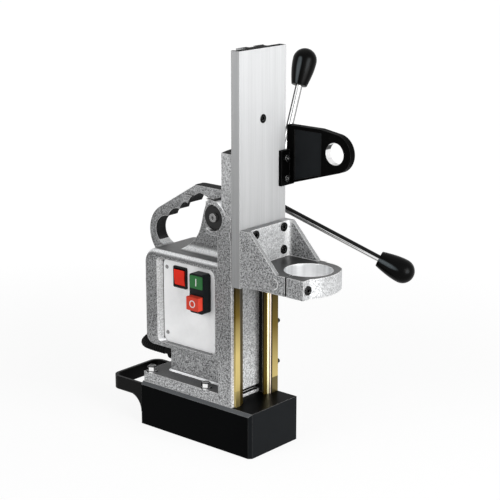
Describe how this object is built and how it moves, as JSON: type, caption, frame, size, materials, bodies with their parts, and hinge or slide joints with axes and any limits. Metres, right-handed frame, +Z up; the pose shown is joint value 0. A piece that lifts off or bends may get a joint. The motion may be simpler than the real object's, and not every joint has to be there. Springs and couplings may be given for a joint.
{
  "type": "magnetic drill stand",
  "caption": "Magnetic drill stand: magnet foot, cast column with handle and switch box, dovetail slide with drill collar, and a rack feed worked by star levers.",
  "frame": {"origin": "middle of the magnet's bottom face", "axes": "+Z up the column, -Y toward the drill collar, +X toward the feed levers' hub"},
  "size_m": [0.1945, 0.3128, 0.449],
  "materials": {
    "magnet_paint": "black enamel on steel, satin gloss",
    "coil_copper": "wound copper wire under tape",
    "potting": "black casting resin",
    "cast_aluminium": "sand-cast surface with a silver hammer finish",
    "way_brass": "milled brass",
    "panel_paint": "silver-grey printed sheet, satin",
    "switch_black": "moulded black",
    "switch_grey": "moulded dark grey-green",
    "board": "green circuit board with tall parts",
    "bow_black": "black moulded, satin",
    "lead_black": "ribbed black conduit",
    "gland_black": "moulded black",
    "brushed_aluminium": "brushed along its length",
    "bright_steel": "turned or zinc plated",
    "black_steel": "black oxide",
    "bracket_paint": "black enamel, satin",
    "chrome_rod": "polished plating",
    "knob_black": "gloss black phenolic",
    "rocker_red": "red, gloss",
    "button_green": "green, gloss",
    "button_red": "red, gloss"
  },
  "bodies": {
    "stand": {"magnet_case": "magnet_paint", "magnet_coil": "coil_copper", "magnet_potting": "potting", "stand_casting": "cast_aluminium", "brass_way_left": "way_brass", "brass_way_right": "way_brass", "panel_plate": "panel_paint", "magnet_switch": "switch_black", "motor_switch": "switch_grey", "circuit_board": "board", "strap_bow": "bow_black", "bow_screw_left": "black_steel", "bow_screw_right": "black_steel", "magnet_lead": "lead_black", "lead_gland_neck": "gland_black", "lead_gland_box": "gland_black", "mains_gland": "gland_black", "drill_outlet": "gland_black", "bush_near": "way_brass", "bush_far": "way_brass", "way_screw_1": "black_steel", "way_screw_2": "black_steel", "way_screw_3": "black_steel", "way_screw_4": "black_steel", "plate_screw_1": "bright_steel", "plate_screw_2": "bright_steel", "plate_screw_3": "bright_steel", "plate_screw_4": "bright_steel", "flange_bolt_left_back": "bright_steel", "flange_bolt_left_front": "bright_steel", "flange_bolt_right_back": "bright_steel", "flange_bolt_right_front": "bright_steel"},
    "carriage": {"slide_plate": "brushed_aluminium", "feed_rack": "bright_steel", "rack_screw_upper": "black_steel", "rack_screw_lower": "black_steel", "collar_bracket": "cast_aluminium", "clamp_screw": "black_steel", "collar_screw_1": "black_steel", "collar_screw_2": "black_steel", "collar_screw_3": "black_steel", "collar_screw_4": "black_steel", "upper_bracket": "bracket_paint", "lip_screw_1": "black_steel", "lip_screw_2": "black_steel"},
    "feed": {"feed_shaft": "bright_steel", "pinion": "bright_steel", "feed_hub": "black_steel", "end_washer": "black_steel", "end_screw": "bright_steel", "lever_rod_1": "chrome_rod", "lever_rod_2": "chrome_rod", "lever_rod_3": "chrome_rod", "lever_knob_1": "knob_black", "lever_knob_2": "knob_black", "lever_knob_3": "knob_black"},
    "magnet_rocker": {"magnet_rocker": "rocker_red"},
    "start_button": {"start_button": "button_green"},
    "stop_button": {"stop_button": "button_red"}
  },
  "joints": [
    {"name": "carriage_slide", "type": "slide", "parent": "stand", "child": "carriage", "axis": [0, 0, 1], "range_m": [-0.138, 0.01]},
    {"name": "feed_turn", "type": "hinge", "parent": "stand", "child": "feed", "pos_m": [0, -0.026, 0.265], "axis": [1, 0, 0], "range_deg": [-36, 481]},
    {"name": "rocker_tilt", "type": "hinge", "parent": "stand", "child": "magnet_rocker", "pos_m": [-0.0313, 0.0268, 0.1871], "axis": [0, 1, 0], "range_deg": [0, 10]},
    {"name": "start_press", "type": "slide", "parent": "stand", "child": "start_button", "axis": [1, 0, 0], "range_m": [0, 0.003], "stiffness_N_per_m": 300, "springref_m": -0.004},
    {"name": "stop_press", "type": "slide", "parent": "stand", "child": "stop_button", "axis": [1, 0, 0], "range_m": [0, 0.003], "stiffness_N_per_m": 300, "springref_m": -0.004}
  ],
  "couplings": [
    {"joint": "feed_turn", "follows": "carriage_slide", "rad_per_m": -60.606}
  ]
}
